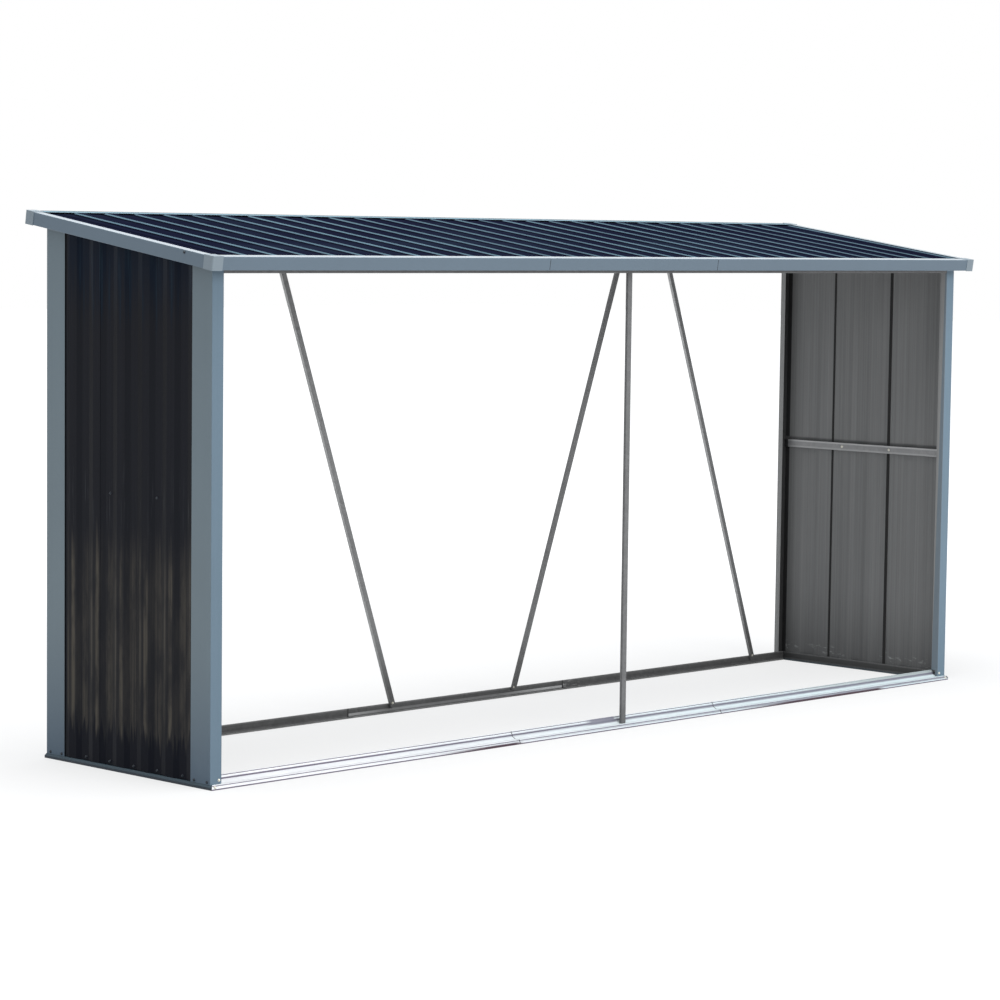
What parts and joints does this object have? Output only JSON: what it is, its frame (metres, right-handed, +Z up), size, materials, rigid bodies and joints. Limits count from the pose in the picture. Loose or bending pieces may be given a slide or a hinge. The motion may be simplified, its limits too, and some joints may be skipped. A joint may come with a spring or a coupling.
{
  "type": "log store",
  "caption": "Long low steel firewood store with ribbed end walls, an open front and back, diagonal back braces and a ribbed lean-to roof with capped fascia edges.",
  "frame": {"origin": "ground level under the middle of the overall box", "axes": "+X to the right along the front, +Y to the back, +Z up"},
  "size_m": [3.3, 0.797, 1.52],
  "materials": {
    "frame_paint": "satin light grey paint on folded steel",
    "fascia_paint": "satin blue-grey paint on folded steel",
    "wall_sheet": "semi-gloss anthracite paint on ribbed sheet",
    "roof_sheet": "satin anthracite paint on ribbed sheet",
    "zinc_rail": "bright galvanised",
    "zinc_steel": "dull galvanised",
    "cap_plastic": "moulded pale grey plastic"
  },
  "bodies": {
    "root": {"base_front_left": "zinc_rail", "base_front_mid": "zinc_rail", "base_front_right": "zinc_rail", "base_back_left": "zinc_rail", "base_back_mid": "zinc_rail", "base_back_right": "zinc_rail", "base_left": "frame_paint", "base_right": "frame_paint", "post_front_left": "frame_paint", "post_front_right": "frame_paint", "post_back_left": "frame_paint", "post_back_right": "frame_paint", "post_front_mid": "zinc_steel", "wall_left_front": "wall_sheet", "wall_left_mid": "wall_sheet", "wall_left_back": "wall_sheet", "wall_right_front": "wall_sheet", "wall_right_mid": "wall_sheet", "wall_right_back": "wall_sheet", "wall_rail_left": "zinc_steel", "wall_rail_right": "zinc_steel", "top_rail_front": "zinc_steel", "top_rail_back": "zinc_steel", "top_rail_left": "zinc_steel", "top_rail_right": "zinc_steel", "brace_outer_left": "zinc_steel", "brace_inner_left": "zinc_steel", "brace_inner_right": "zinc_steel", "brace_outer_right": "zinc_steel", "roof_left": "roof_sheet", "roof_mid": "roof_sheet", "roof_right": "roof_sheet", "fascia_front_left": "fascia_paint", "fascia_front_mid": "fascia_paint", "fascia_front_right": "fascia_paint", "fascia_back_left": "fascia_paint", "fascia_back_mid": "fascia_paint", "fascia_back_right": "fascia_paint", "fascia_left": "fascia_paint", "fascia_right": "fascia_paint", "cap_front_left": "cap_plastic", "cap_front_right": "cap_plastic", "cap_back_left": "cap_plastic", "cap_back_right": "cap_plastic"}
  },
  "joints": []
}
